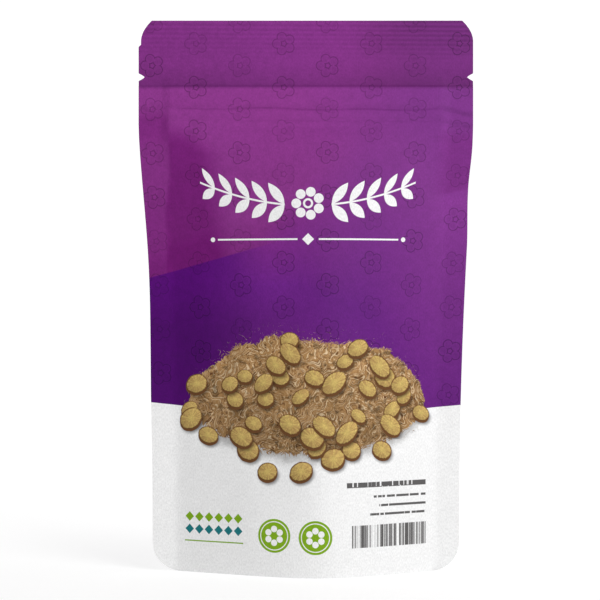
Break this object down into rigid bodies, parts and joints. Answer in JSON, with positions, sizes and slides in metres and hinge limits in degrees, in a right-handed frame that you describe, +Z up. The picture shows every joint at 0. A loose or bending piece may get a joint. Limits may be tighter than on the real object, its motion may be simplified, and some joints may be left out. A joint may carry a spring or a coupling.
{
  "type": "stand-up zip pouch",
  "caption": "Filled stand-up pouch of matte film with a folded bottom gusset, a press-to-close zip, tear notches and rounded corners, holding loose dried cut root.",
  "frame": {"origin": "on the table under the middle of the standing pouch", "axes": "+Z up the pouch, +X across its width, -Y out of its front panel"},
  "size_m": [0.16, 0.0532, 0.263],
  "materials": {
    "front_film": "matte printed laminate, purple above and white below",
    "back_film": "matte printed laminate, purple above and white below",
    "gusset_film": "matte white laminate",
    "zip": "clear to milky polyethylene",
    "root": "dry fibrous root, tan to yellow with brown bark"
  },
  "bodies": {
    "root": {"front_panel": "front_film", "back_panel": "back_film", "bottom_gusset": "gusset_film", "zip_socket_strip": "zip", "zip_rib_strip": "zip", "root_fill": "root"}
  },
  "joints": []
}
